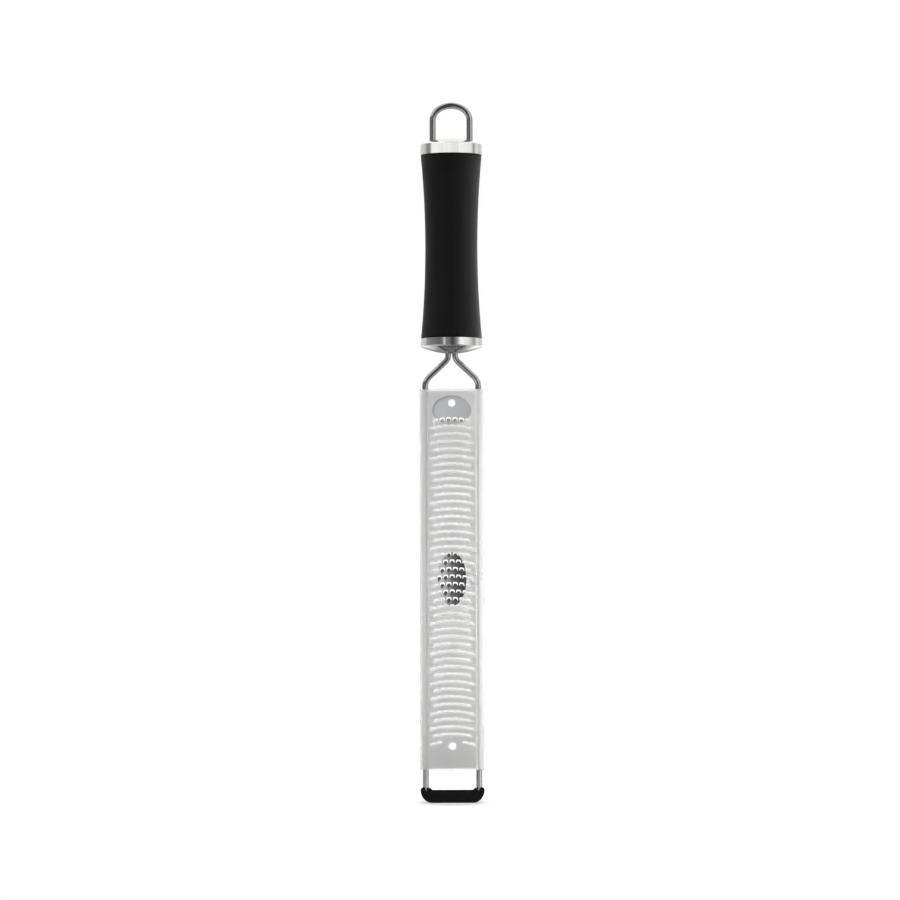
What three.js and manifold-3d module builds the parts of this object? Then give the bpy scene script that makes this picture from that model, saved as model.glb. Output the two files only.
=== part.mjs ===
// Hand-held rasp grater: a bent wire frame carries an etched steel blade between a rubber foot
// and a soft waisted grip, and a frosted guard covers the teeth.
// Millimetres, +Z up. The foot stands on z = 0 and the teeth face -Y.
import * as THREE from 'three';
import { mergeVertices } from 'three/addons/utils/BufferGeometryUtils.js';
import Module from 'manifold-3d';

const wasm = await Module();
wasm.setup();

// Wire frame: one rod bent from leg to leg round the foot
const wireDiameter = 3.0;
const sideWireSpacing = 27.0;
const neckWireSpacing = 3.5;
const neckBendRadius = 5.0;
const sideBendRadius = 7.0;
const footBendRadius = 4.5;
const neckStraight = 2.05;
const sideStraight = 5.6;
const legInsert = 55.0;

// Blade: thin sheet with its long edges rolled round the side wires
const bladeThickness = 0.3;
const bladeLength = 191.1;
const bladeLift = 17.5;
const bladeCrown = 0.5;
const curlClearance = 0.15;
const curlWrapDegrees = 200;
const toothPitch = 3.28;
const rowPitch = 3.8;
const rowArcRadius = 40.0;
const plainEdge = 2.0;
const plainTop = 15.05;
const plainBottom = 12.4;
const slotWidth = 2.6;
const slotHeight = 1.75;
const slotTaper = 0.1;
const tipWidth = 1.5;
const tipReach = 0.75;
const toothLift = 0.75;
const hangHoleDiameter = 3.7;
const upperHoleInset = 6.2;
const lowerHoleDrop = 1.3;
const toothFreeRadius = 4.4;

// Guard: open-backed cover, its panel raised clear of the teeth
const guardWall = 0.6;
const guardClearance = 0.2;
const guardOverhang = 0.8;
const guardRearReach = 2.0;
const panelInset = 1.0;
const toothGap = 0.3;
const panelEdgeRadius = 0.5;
const railEdgeRadius = 0.9;
const middleWindowWidth = 14.6;
const middleWindowHeight = 27.2;
const upperWindowWidth = 19.8;
const upperWindowHeight = 14.8;
const upperWindowInset = 10.0;

// Foot: rubber moulded round the bottom bend
const footHeight = 6.5;
const footDepth = 6.5;
const footSideWall = 1.25;
const footCornerRadius = 5.8;
const footBevel = 0.8;
const footBevelDepth = 2.2;
const collarRise = 1.3;
const collarInnerWall = 1.3;
const collarNotchRadius = 0.2;

// Handle
const neckHeight = 18.95;
const gripLength = 93.5;
const gripSetback = 0.15;
const gripWaistDepth = 2.55;
const gripWall = 2.5;
const gripEdgeRadius = 0.6;
const capRadius = 15.75;
const capWall = 0.9;
const lowerCapSkirt = 4.2;
const upperCapSkirt = 5.4;
const capDome = 3.4;
const capEdgeRadius = 0.5;

// Hang loop
const loopWireDiameter = 3.2;
const loopRimInset = 6.35;
const loopReach = 18.25;
const loopArchRise = 7.8;
const loopInsert = 11.0;

// Clearance of pieces that are pressed or moulded together
const fitGap = 0.15;

// Facet counts
const rodSides = 12;
const latheSegments = 28;
const arcStepDegrees = 18;
const windowSides = 40;
const holeSides = 16;
const curlStepDegrees = 30;
const endSpans = 8;
const domeSteps = 4;
const gripSteps = 7;
const bevelSteps = 2;

// Sizes and places that follow from the driving dimensions
const wireRadius = wireDiameter / 2;
const loopRadius = loopWireDiameter / 2;
const sideX = sideWireSpacing / 2;
const neckX = neckWireSpacing / 2;
const loopX = capRadius - loopRimInset;
const bladeTop = bladeLift + bladeLength;
const handleBottom = bladeTop + neckHeight;
const gripBottom = handleBottom + capDome + lowerCapSkirt;
const gripTop = gripBottom + gripLength;
const handleTop = gripTop + upperCapSkirt + capDome;
const gripEndRadius = capRadius - gripSetback;
const curlRadius = wireRadius + curlClearance + bladeThickness / 2;
const curlOuterRadius = curlRadius + bladeThickness / 2;

const steel = (roughness) => new THREE.MeshStandardMaterial({ color: 0xc8c9ca, metalness: 1, roughness });
const polishedSteel = steel(0.15);
const satinSteel = steel(0.35);
const etchedSteel = steel(0.4);
const softBlack = new THREE.MeshStandardMaterial({ color: 0x1e1e1f, metalness: 0, roughness: 0.6 });
const footBlack = new THREE.MeshStandardMaterial({ color: 0x19191a, metalness: 0, roughness: 0.7 });
const coreGrey = new THREE.MeshStandardMaterial({ color: 0x2c2c2e, metalness: 0, roughness: 0.5 });
const frostedGuard = new THREE.MeshStandardMaterial({
  color: 0xdfe2e4,
  metalness: 0,
  roughness: 0.45,
  transparent: true,
  opacity: 0.5,
});

// Solids for cutting and joining

function toSolid(geometry) {
  const bare = geometry.clone();
  bare.deleteAttribute('normal');
  bare.deleteAttribute('uv');
  const merged = mergeVertices(bare, 1e-5);
  return new wasm.Manifold(new wasm.Mesh({
    numProp: 3,
    vertProperties: new Float32Array(merged.attributes.position.array),
    triVerts: new Uint32Array(merged.index.array),
  }));
}

function toGeometry(solid) {
  const mesh = solid.getMesh();
  const geometry = new THREE.BufferGeometry();
  geometry.setAttribute('position', new THREE.BufferAttribute(new Float32Array(mesh.vertProperties), 3));
  geometry.setIndex(new THREE.BufferAttribute(new Uint32Array(mesh.triVerts), 1));
  return geometry;
}

function cut(geometry, tools) {
  return toGeometry(tools.reduce((solid, tool) => solid.subtract(toSolid(tool)), toSolid(geometry)));
}

// Paths and outlines with rounded corners

// Walk corners [x, y, radius], replacing each with an arc tangent to both of its sides.
function roundCorners(corners, closed) {
  const walk = [];
  const count = corners.length;
  corners.forEach(([x, y, radius], i) => {
    const here = new THREE.Vector2(x, y);
    const end = !closed && (i === 0 || i === count - 1);
    if (end || !radius) {
      walk.push(here);
      return;
    }
    const [beforeX, beforeY] = corners[(i + count - 1) % count];
    const [afterX, afterY] = corners[(i + 1) % count];
    const arrive = here.clone().sub(new THREE.Vector2(beforeX, beforeY)).normalize();
    const leave = new THREE.Vector2(afterX, afterY).sub(here).normalize();
    const turn = Math.atan2(arrive.cross(leave), arrive.dot(leave));
    const side = Math.sign(turn);
    const start = here.clone().addScaledVector(arrive, -radius * Math.tan(Math.abs(turn) / 2));
    const centre = start.clone().add(new THREE.Vector2(-arrive.y, arrive.x).multiplyScalar(side * radius));
    const steps = Math.max(2, Math.ceil(Math.abs(turn) / THREE.MathUtils.degToRad(arcStepDegrees)));
    for (let k = 0; k <= steps; k += 1) {
      walk.push(start.clone().rotateAround(centre, (turn * k) / steps));
    }
  });
  return walk;
}

// A path in the XZ plane that steps only where it bends.
class BentPath extends THREE.Curve {
  constructor(walk) {
    super();
    this.stations = walk.map((point) => new THREE.Vector3(point.x, 0, point.y));
  }

  get steps() {
    return this.stations.length - 1;
  }

  station(u) {
    return Math.round(u * this.steps);
  }

  getPointAt(u) {
    return this.stations[this.station(u)].clone();
  }

  getTangentAt(u) {
    const i = this.station(u);
    const here = this.stations[i];
    const before = this.stations[Math.max(i - 1, 0)];
    const after = this.stations[Math.min(i + 1, this.steps)];
    const arrive = here.clone().sub(before).normalize();
    const leave = after.clone().sub(here).normalize();
    return arrive.add(leave).normalize();
  }
}

function rod(walk, radius) {
  const section = new THREE.Shape().absarc(0, 0, radius, 0, 2 * Math.PI);
  const path = new BentPath(walk);
  const options = { steps: path.steps, curveSegments: rodSides / 2, extrudePath: path };
  return new THREE.ExtrudeGeometry(section, options);
}

// Radius of a bore whose flats stay the fit gap away from a rod.
function boreRadius(rodRadius) {
  return (rodRadius + fitGap) / Math.cos(Math.PI / rodSides);
}

// Turn a profile of [radius, z] points round the Z axis.
function turned(profile) {
  const points = profile.map(([radius, z]) => new THREE.Vector2(radius, z));
  return new THREE.LatheGeometry(points, latheSegments).rotateX(Math.PI / 2);
}

function upright(shape, bottom, top) {
  const options = { depth: top - bottom, bevelEnabled: false, curveSegments: rodSides / 2 };
  return new THREE.ExtrudeGeometry(shape, options).translate(0, 0, bottom);
}

// Pull an outline drawn in X and Z through the depth y from front to back.
function frontal(shape, front, back, options) {
  const geometry = new THREE.ExtrudeGeometry(shape, { depth: back - front, bevelEnabled: false, ...options });
  return geometry.rotateX(Math.PI / 2).translate(0, back, 0);
}

// Wire frame

const wireBottom = footHeight / 2;
const neckCornerZ = handleBottom - neckStraight;
const sideCornerZ = bladeTop + sideStraight;

function wireFrame() {
  const rightHalf = [
    [sideX, wireBottom, footBendRadius],
    [sideX, sideCornerZ, sideBendRadius],
    [neckX, neckCornerZ, neckBendRadius],
    [neckX, gripBottom + legInsert, 0],
  ];
  const leftHalf = rightHalf.map(([x, z, radius]) => [-x, z, radius]).reverse();
  return rod(roundCorners([...leftHalf, ...rightHalf], false), wireRadius);
}

// Blade

// Mid-surface of the sheet between the wires, bowed forward across its width.
function bladeY(x) {
  return -curlRadius - bladeCrown * (1 - (x / sideX) ** 2);
}

// A mid-surface of triangles that is closed into a sheet of even thickness.
class Sheet {
  points = [];

  normals = [];

  faces = [];

  add(point, normal) {
    this.points.push(point);
    this.normals.push(normal);
    return this.points.length - 1;
  }

  plate(x, z, lift = 0) {
    return this.add(new THREE.Vector3(x, bladeY(x) - lift, z), new THREE.Vector3(0, -1, 0));
  }

  // Fill the strip between two chains that run the same way, the first one on the left hand.
  strip(first, second) {
    let i = 0;
    let j = 0;
    while (i < first.length - 1 || j < second.length - 1) {
      const firstDone = i === first.length - 1;
      const secondDone = j === second.length - 1;
      const alongFirst = [first[i], second[j], first[i + 1]];
      const alongSecond = [first[i], second[j], second[j + 1]];
      const nearer = !firstDone && !secondDone && this.reach(alongFirst, 1) < this.reach(alongSecond, 0);
      if (secondDone || nearer) {
        this.faces.push(alongFirst);
        i += 1;
      } else {
        this.faces.push(alongSecond);
        j += 1;
      }
    }
  }

  // Length of a face's new side, or no use at all where the face would point inwards.
  reach(face, corner) {
    const [a, b, c] = face.map((k) => this.points[k]);
    const facing = b.clone().sub(a).cross(c.clone().sub(a));
    return facing.dot(this.normals[face[0]]) > 0 ? c.distanceTo([a, b][corner]) : Infinity;
  }

  // Front and back faces, with a wall along every edge that only one face uses.
  solid(thickness) {
    const back = this.points.length;
    const offset = (side) => this.points.flatMap((point, i) => (
      point.clone().addScaledVector(this.normals[i], (side * thickness) / 2).toArray()
    ));
    const edges = new Set(this.faces.flatMap(([a, b, c]) => [`${a} ${b}`, `${b} ${c}`, `${c} ${a}`]));
    const index = this.faces.flatMap(([a, b, c]) => [a, b, c, back + c, back + b, back + a]);
    edges.forEach((edge) => {
      const [a, b] = edge.split(' ').map(Number);
      if (!edges.has(`${b} ${a}`)) {
        index.push(b, a, back + a, b, back + a, back + b);
      }
    });
    const geometry = new THREE.BufferGeometry();
    geometry.setAttribute('position', new THREE.Float32BufferAttribute([...offset(1), ...offset(-1)], 3));
    geometry.setIndex(index);
    return geometry;
  }
}

// Teeth stand in arched rows, so a row drops towards its ends.
function rowDrop(x) {
  return rowArcRadius - Math.sqrt(rowArcRadius ** 2 - x ** 2);
}

// One tooth: an arched slot with a tongue that is hinged at the slot's foot and bent forward.
function tooth(sheet, centre, z) {
  const at = (across, up, lift) => sheet.plate(centre + across, z + up - rowDrop(centre + across), lift);
  const root = slotWidth / 2;
  const crown = root - slotTaper;
  const leftRoot = at(-root, 0);
  const leftCrown = at(-crown, slotHeight);
  const rightCrown = at(crown, slotHeight);
  const rightRoot = at(root, 0);
  const leftTip = at(-tipWidth / 2, tipReach, toothLift);
  const rightTip = at(tipWidth / 2, tipReach, toothLift);
  sheet.faces.push([leftRoot, rightRoot, rightTip], [leftRoot, rightTip, leftTip]);
  return { upper: [leftCrown, rightCrown], lower: [leftRoot, rightRoot] };
}

function roundHole(sheet, z) {
  const radius = hangHoleDiameter / 2;
  const half = holeSides / 2;
  const ring = Array.from({ length: holeSides }, (_, k) => {
    const angle = Math.PI - (Math.PI * k) / half;
    return sheet.plate(radius * Math.cos(angle), z + radius * Math.sin(angle));
  });
  const [left, right] = [ring[0], ring[half]];
  return { upper: ring.slice(0, half + 1), lower: [left, ...ring.slice(half + 1).reverse(), right] };
}

// A row's two chains run from one rolled edge to the other, over and under its openings.
function row(sheet, z, borderDrop, openings) {
  const left = sheet.plate(-sideX, z - borderDrop);
  const right = sheet.plate(sideX, z - borderDrop);
  const stops = [{ upper: [left], lower: [left] }, ...openings, { upper: [right], lower: [right] }];
  stops.slice(1).forEach((after, k) => web(sheet, stops[k], after));
  return { upper: stops.flatMap((stop) => stop.upper), lower: stops.flatMap((stop) => stop.lower) };
}

// Metal left standing between two neighbours of a row.
function web(sheet, before, after) {
  const [crownBefore, footBefore] = [before.upper.at(-1), before.lower.at(-1)];
  const [crownAfter, footAfter] = [after.upper[0], after.lower[0]];
  if (crownAfter !== footAfter) {
    sheet.faces.push([footBefore, footAfter, crownAfter]);
  }
  if (crownBefore !== footBefore) {
    sheet.faces.push([footBefore, crownAfter, crownBefore]);
  }
}

function endRow(sheet, z) {
  const span = sideWireSpacing / endSpans;
  const chain = Array.from({ length: endSpans + 1 }, (_, k) => sheet.plate(k * span - sideX, z));
  return { upper: chain, lower: chain };
}

function toothCentres(wide) {
  const most = Math.floor((sideWireSpacing - 2 * plainEdge) / toothPitch);
  const count = wide ? most : most - 1;
  return Array.from({ length: count }, (_, k) => (k - (count - 1) / 2) * toothPitch);
}

function toothRows(sheet) {
  const firstRoot = bladeTop - plainTop;
  const count = 1 + Math.floor((firstRoot - bladeLift - plainBottom) / rowPitch);
  return Array.from({ length: count }, (_, k) => {
    const z = firstRoot - k * rowPitch;
    const centres = toothCentres(k % 2 === 1);
    if (k < count - 1) {
      return row(sheet, z, rowDrop(sideX), centres.map((x) => tooth(sheet, x, z)));
    }
    // The last row leaves room for the lower hang hole.
    const beside = centres.filter((x) => Math.abs(x) > toothFreeRadius);
    const openings = [
      ...beside.filter((x) => x < 0).map((x) => tooth(sheet, x, z)),
      roundHole(sheet, z - lowerHoleDrop),
      ...beside.filter((x) => x > 0).map((x) => tooth(sheet, x, z)),
    ];
    return row(sheet, z, rowDrop(sideX), openings);
  });
}

// Roll one long edge round its wire, from the front over the outside to the back.
function curl(sheet, side, border) {
  const steps = Math.ceil(curlWrapDegrees / curlStepDegrees);
  const ends = side > 0 ? [bladeLift, bladeTop] : [bladeTop, bladeLift];
  let edge = side > 0 ? [...border].reverse() : border;
  for (let k = 1; k <= steps; k += 1) {
    const angle = THREE.MathUtils.degToRad((curlWrapDegrees * k) / steps);
    const outward = new THREE.Vector3(side * Math.sin(angle), -Math.cos(angle), 0);
    const next = ends.map((z) => (
      sheet.add(new THREE.Vector3(side * sideX, 0, z).addScaledVector(outward, curlRadius), outward)
    ));
    sheet.strip(edge, next);
    edge = next;
  }
}

function graterBlade() {
  const sheet = new Sheet();
  const upperHoleZ = bladeTop - upperHoleInset;
  const rows = [
    endRow(sheet, bladeTop),
    row(sheet, upperHoleZ, 0, [roundHole(sheet, upperHoleZ)]),
    ...toothRows(sheet),
    endRow(sheet, bladeLift),
  ];
  rows.slice(1).forEach((lowerRow, k) => sheet.strip(rows[k].lower, lowerRow.upper));
  curl(sheet, -1, rows.map(({ upper }) => upper[0]));
  curl(sheet, 1, rows.map(({ upper }) => upper.at(-1)));
  return sheet.solid(bladeThickness);
}

// Guard

function windowCut(width, height, z, front) {
  const shape = new THREE.Shape().absellipse(0, z, width / 2, height / 2, 0, 2 * Math.PI);
  return frontal(shape, front, 0, { curveSegments: windowSides / 2 });
}

function bladeGuard() {
  const inner = sideX + curlOuterRadius + guardClearance;
  const outer = inner + guardWall;
  const panelOuter = sideX - panelInset;
  const panelInner = panelOuter - guardWall;
  const bladeFront = (x) => bladeY(x) - bladeThickness / 2;
  const railInner = bladeFront(panelInner) - guardClearance;
  const railOuter = railInner - guardWall;
  const panelBack = bladeFront(0) - toothLift - toothGap;
  const panelFront = panelBack - guardWall;
  const rightHalf = [
    [panelOuter, panelFront, panelEdgeRadius],
    [panelOuter, railOuter, 0],
    [outer, railOuter, railEdgeRadius],
    [outer, guardRearReach, 0],
    [inner, guardRearReach, 0],
    [inner, railInner, 0],
    [panelInner, railInner, 0],
    [panelInner, panelBack, 0],
  ];
  const leftHalf = rightHalf.map(([x, y, radius]) => [-x, y, radius]).reverse();
  const section = new THREE.Shape(roundCorners([...rightHalf, ...leftHalf], true));
  const cover = upright(section, bladeLift - guardOverhang, bladeTop + guardOverhang);
  return cut(cover, [
    windowCut(middleWindowWidth, middleWindowHeight, bladeLift + bladeLength / 2, panelFront - guardWall),
    windowCut(upperWindowWidth, upperWindowHeight, bladeTop - upperWindowInset, panelFront - guardWall),
  ]);
}

// Foot

function foot() {
  const outer = sideX + wireRadius + footSideWall;
  const collarInner = sideX - wireRadius - collarInnerWall;
  const collarTop = footHeight + collarRise;
  const inset = Math.min(footBevel, collarRise - 2 * collarNotchRadius);
  const corner = inset + collarNotchRadius;
  const rightHalf = [
    [outer, 0, footCornerRadius],
    [outer, collarTop, corner],
    [collarInner, collarTop, corner],
    [collarInner, footHeight, collarNotchRadius],
  ];
  const leftHalf = rightHalf.map(([x, z, radius]) => [-x, z, radius]).reverse();
  const outline = new THREE.Shape(roundCorners([...leftHalf, ...rightHalf], true));
  const straight = footDepth / 2 - footBevelDepth;
  const body = frontal(outline, -straight, straight, {
    bevelEnabled: true,
    bevelSize: inset,
    bevelThickness: footBevelDepth,
    bevelOffset: -inset,
    bevelSegments: bevelSteps,
  });
  const past = collarTop + wireDiameter;
  const bore = [
    [-sideX, past, 0],
    [-sideX, wireBottom, footBendRadius],
    [sideX, wireBottom, footBendRadius],
    [sideX, past, 0],
  ];
  return cut(body, [rod(roundCorners(bore, false), boreRadius(wireRadius))]);
}

// Handle

// Waisted grip: the radius follows one shallow arc from end to end.
function gripRadius(z) {
  const half = gripLength / 2;
  const arc = (half ** 2 + gripWaistDepth ** 2) / (2 * gripWaistDepth);
  return gripEndRadius - gripWaistDepth + arc - Math.sqrt(arc ** 2 - (z - gripBottom - half) ** 2);
}

// Profile along the grip at a depth below its skin, from bottom to top.
function gripProfile(depth, bottom, top) {
  return Array.from({ length: gripSteps + 1 }, (_, k) => {
    const z = bottom + ((top - bottom) * k) / gripSteps;
    return [gripRadius(z) - depth, z];
  });
}

function grip() {
  const bottom = gripBottom + fitGap;
  const top = gripTop - fitGap;
  const bore = gripProfile(gripWall, bottom, top).reverse();
  return turned([
    ...bore,
    [gripRadius(bottom) - gripEdgeRadius, bottom],
    ...gripProfile(0, bottom + gripEdgeRadius, top - gripEdgeRadius),
    [gripRadius(top) - gripEdgeRadius, top],
    bore[0],
  ]);
}

function neckSlot(bottom, top) {
  const radius = boreRadius(wireRadius);
  const shape = new THREE.Shape();
  shape.absarc(neckX, 0, radius, -Math.PI / 2, Math.PI / 2);
  shape.absarc(-neckX, 0, radius, Math.PI / 2, (3 * Math.PI) / 2);
  return upright(shape, bottom, top);
}

function loopBores(bottom, top) {
  return [-loopX, loopX].map((x) => {
    const shape = new THREE.Shape().absarc(x, 0, boreRadius(loopRadius), 0, 2 * Math.PI);
    return upright(shape, bottom, top);
  });
}

// Moulded core: waisted inside the grip, with a spigot at each end that seats a cap.
function handleCore() {
  const spigotRadius = capRadius - capWall - fitGap;
  const spigotReach = (skirt) => skirt - capWall - fitGap;
  const bottom = gripBottom - spigotReach(lowerCapSkirt);
  const top = gripTop + spigotReach(upperCapSkirt);
  const body = turned([
    [0, bottom],
    [spigotRadius, bottom],
    [spigotRadius, gripBottom],
    ...gripProfile(gripWall + fitGap, gripBottom, gripTop),
    [spigotRadius, gripTop],
    [spigotRadius, top],
    [0, top],
  ]);
  return cut(body, [
    neckSlot(bottom - capDome, gripBottom + legInsert + fitGap),
    ...loopBores(gripTop - loopInsert - fitGap, top + capDome),
  ]);
}

// Pressed steel cup with a shallow dome, its open rim at z = 0 and its dome upwards.
function capShell(skirt) {
  const dome = (radius, base) => {
    const arc = (radius ** 2 + capDome ** 2) / (2 * capDome);
    return Array.from({ length: domeSteps + 1 }, (_, k) => {
      const r = (radius * k) / domeSteps;
      return [r, base + capDome - arc + Math.sqrt(arc ** 2 - r ** 2)];
    });
  };
  const innerRadius = capRadius - capWall;
  return turned([
    ...dome(innerRadius, skirt - capWall),
    [innerRadius, 0],
    [capRadius, 0],
    [capRadius, skirt - capEdgeRadius],
    ...dome(capRadius - capEdgeRadius, skirt).reverse(),
  ]);
}

function upperCap() {
  const shell = capShell(upperCapSkirt).translate(0, 0, gripTop);
  return cut(shell, loopBores(gripTop, handleTop + capDome));
}

function lowerCap() {
  const shell = capShell(lowerCapSkirt).rotateX(Math.PI).translate(0, 0, gripBottom);
  return cut(shell, [neckSlot(handleBottom - capDome, gripBottom)]);
}

// Loop with a slightly flattened round top
function hangLoop() {
  const archZ = handleTop + loopReach - loopRadius - loopArchRise;
  const archSteps = 180 / arcStepDegrees;
  const arch = Array.from({ length: archSteps + 1 }, (_, k) => {
    const angle = Math.PI - (Math.PI * k) / archSteps;
    return new THREE.Vector2(loopX * Math.cos(angle), archZ + loopArchRise * Math.sin(angle));
  });
  const legEnd = gripTop - loopInsert;
  return rod([new THREE.Vector2(-loopX, legEnd), ...arch, new THREE.Vector2(loopX, legEnd)], loopRadius);
}

function piece(name, geometry, material) {
  const mesh = new THREE.Mesh(geometry, material);
  mesh.name = name;
  return mesh;
}

const grater = new THREE.Group();
grater.add(
  piece('wire_frame', wireFrame(), polishedSteel),
  piece('grater_blade', graterBlade(), etchedSteel),
  piece('foot', foot(), footBlack),
  piece('handle_core', handleCore(), coreGrey),
  piece('grip', grip(), softBlack),
  piece('lower_cap', lowerCap(), satinSteel),
  piece('upper_cap', upperCap(), satinSteel),
  piece('hang_loop', hangLoop(), polishedSteel),
  piece('blade_guard', bladeGuard(), frostedGuard),
);

export default grater;
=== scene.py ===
import math

import bmesh
import bpy
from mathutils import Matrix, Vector


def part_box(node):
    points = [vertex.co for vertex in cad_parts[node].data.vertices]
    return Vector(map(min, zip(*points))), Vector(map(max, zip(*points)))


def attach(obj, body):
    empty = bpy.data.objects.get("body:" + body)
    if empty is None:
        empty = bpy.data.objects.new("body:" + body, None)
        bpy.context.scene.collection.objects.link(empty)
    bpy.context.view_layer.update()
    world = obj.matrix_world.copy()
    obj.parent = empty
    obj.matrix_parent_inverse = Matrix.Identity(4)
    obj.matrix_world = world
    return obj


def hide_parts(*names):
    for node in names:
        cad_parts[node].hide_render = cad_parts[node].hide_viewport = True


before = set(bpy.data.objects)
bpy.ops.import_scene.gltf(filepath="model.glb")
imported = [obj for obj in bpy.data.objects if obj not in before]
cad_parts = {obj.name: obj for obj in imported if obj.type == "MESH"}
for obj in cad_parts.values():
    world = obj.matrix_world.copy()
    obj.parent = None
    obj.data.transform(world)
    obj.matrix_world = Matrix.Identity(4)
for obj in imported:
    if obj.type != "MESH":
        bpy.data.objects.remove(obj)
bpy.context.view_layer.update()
mm = 0.001
near = 0.01  # in mm, places closer than this count as one
weld = 0.001  # in mm, doubles closer than this are merged
cornerSteps = 5  # facets on each rounded corner of a drawn line
smoothBelow = 35  # degrees between faces that still shade as one surface
scene = bpy.context.scene
print("frame loaded:", len(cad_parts), "nodes")


# camera: a long lens low over the table, looking up a little, turned a hair so the grater leans left
view = {"distance": 2.456, "height": 0.076, "aim": 0.17865, "aside": -0.00115, "lens": 193.7, "sensor": 36,
        "leanDegrees": 0.13}

bpy.ops.object.select_all(action="DESELECT")
lookUp = math.atan2(view["aim"] - view["height"], view["distance"])
bpy.ops.object.camera_add(
    location=(view["aside"], -view["distance"], view["height"]),
    rotation=(math.radians(90) + lookUp, math.radians(view["leanDegrees"]), 0))
camera = bpy.context.object
camera.name = "camera"
camera.data.lens = view["lens"]
camera.data.sensor_width = view["sensor"]
scene.camera = camera
scene.view_settings.view_transform = "Standard"
print("camera set")


# working in edit mode

def editPiece(name):
    # names the new primitive, puts its place into the mesh and opens it
    piece = bpy.context.object
    piece.name = name
    piece.data.name = name
    bpy.ops.object.transform_apply(location=True, rotation=True, scale=True)
    bpy.ops.object.mode_set(mode="EDIT")
    bpy.ops.mesh.select_mode(type="VERT")
    bpy.ops.mesh.select_all(action="SELECT")
    return piece


def pick(kind, test):
    # selects the verts, edges or faces that pass the test
    bpy.ops.mesh.select_mode(type={"verts": "VERT", "edges": "EDGE", "faces": "FACE"}[kind])
    bpy.ops.mesh.select_all(action="DESELECT")
    mesh = bpy.context.edit_object.data
    edit = bmesh.from_edit_mesh(mesh)
    for item in getattr(edit, kind):
        if test(item):
            item.select_set(True)
    edit.select_flush_mode()
    bmesh.update_edit_mesh(mesh)


def pull(step):
    bpy.ops.mesh.extrude_region_move(TRANSFORM_OT_translate={"value": tuple(step)})


def sweep(degrees, centre, axis, steps):
    # spin turns the other way round its axis, so the angle is reversed here
    bpy.ops.mesh.spin(steps=steps, angle=-math.radians(degrees), center=tuple(centre), axis=axis)


def closePiece():
    # welds the doubles, faces everything outwards and leaves edit mode
    bpy.ops.mesh.select_all(action="SELECT")
    bpy.ops.mesh.remove_doubles(threshold=weld * mm)
    bpy.ops.mesh.normals_make_consistent(inside=False)
    bpy.ops.object.mode_set(mode="OBJECT")


def takeUp(piece):
    bpy.ops.object.select_all(action="DESELECT")
    piece.select_set(True)
    bpy.context.view_layer.objects.active = piece


def applyModifier(piece, kind, **settings):
    takeUp(piece)
    modifier = piece.modifiers.new(kind.lower(), kind)
    for setting, value in settings.items():
        setattr(modifier, setting, value)
    bpy.ops.object.modifier_apply(modifier=modifier.name)


def cutAway(piece, cutters):
    for cutter in cutters:
        applyModifier(piece, "BOOLEAN", operation="DIFFERENCE", solver="EXACT", object=cutter)
        bpy.data.objects.remove(cutter)


def roundBar(centre, radius, length, along, sides=48, stretch=1.0):
    # a bar for cutting holes, lying along Y or standing along Z
    bpy.ops.object.select_all(action="DESELECT")
    turned = (math.radians(90), 0, 0) if along == "y" else (0, 0, 0)
    bpy.ops.mesh.primitive_cylinder_add(
        vertices=sides, radius=radius * mm, depth=length * mm,
        location=Vector(centre) * mm, rotation=turned, scale=(1, stretch, 1))
    bpy.ops.object.transform_apply(location=True, rotation=True, scale=True)
    return bpy.context.object


def drawLine(name, points):
    # a chain of edges, drawn by pulling one vertex from point to point
    bpy.ops.object.select_all(action="DESELECT")
    bpy.ops.mesh.primitive_plane_add(size=mm)
    piece = editPiece(name)
    bpy.ops.mesh.merge(type="CENTER")
    places = [Vector(point) * mm for point in points]
    bpy.ops.transform.translate(value=tuple(places[0]))
    for before, after in zip(places, places[1:]):
        pull(after - before)
    return piece


def roundCorner(point, size):
    place = Vector(point) * mm
    pick("verts", lambda vert: (vert.co - place).length < near * mm)
    bpy.ops.mesh.bevel(offset=size * mm, segments=cornerSteps, affect="VERTICES")


def turnLine(steps):
    bpy.ops.mesh.select_all(action="SELECT")
    sweep(360, (0, 0, 0), (0, 0, 1), steps)


def bentWire(name, corners, wire):
    # round wire in the XZ plane: pulled along each straight, spun round each bend
    places = [Vector((x, 0, z)) * mm for x, z, bend in corners]
    bpy.ops.object.select_all(action="DESELECT")
    bpy.ops.mesh.primitive_circle_add(
        vertices=wire["sides"], radius=wire["diameter"] / 2 * mm, fill_type="NGON", location=places[0])
    piece = editPiece(name)
    here = places[0]
    for i in range(1, len(places) - 1):
        bend = corners[i][2] * mm
        ahead = (places[i] - places[i - 1]).normalized()
        away = (places[i + 1] - places[i]).normalized()
        turn = ahead.angle(away)
        reach = bend * math.tan(turn / 2)
        start = places[i] - ahead * reach
        if (start - here).length > near * mm:
            pull(start - here)
        side = math.copysign(1, ahead.cross(away).y)
        centre = start + Vector((0, side, 0)).cross(ahead) * bend
        sweep(math.degrees(turn), centre, (0, side, 0), math.ceil(math.degrees(turn) / wire["bendStep"]))
        here = places[i] + away * reach
    pull(places[-1] - here)
    closePiece()
    return piece


# working in the node editor

def hexColour(code):
    # sRGB hex to the linear values a shader works in
    parts = [int(code[i:i + 2], 16) / 255 for i in (1, 3, 5)]
    return [c / 12.92 if c <= 0.04045 else ((c + 0.055) / 1.055) ** 2.4 for c in parts] + [1.0]


def addNode(tree, kind, inputs=None, **settings):
    node = tree.nodes.new(kind)
    for setting, value in settings.items():
        setattr(node, setting, value)
    for socket, value in (inputs or {}).items():
        if isinstance(value, bpy.types.NodeSocket):
            tree.links.new(value, node.inputs[socket])
        else:
            node.inputs[socket].default_value = value
    return node


def newFinish(name, sockets):
    finish = bpy.data.materials.new(name)
    finish.use_nodes = True
    shader = finish.node_tree.nodes["Principled BSDF"]
    for socket, value in sockets.items():
        shader.inputs[socket].default_value = value
    return finish, finish.node_tree, shader


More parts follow.
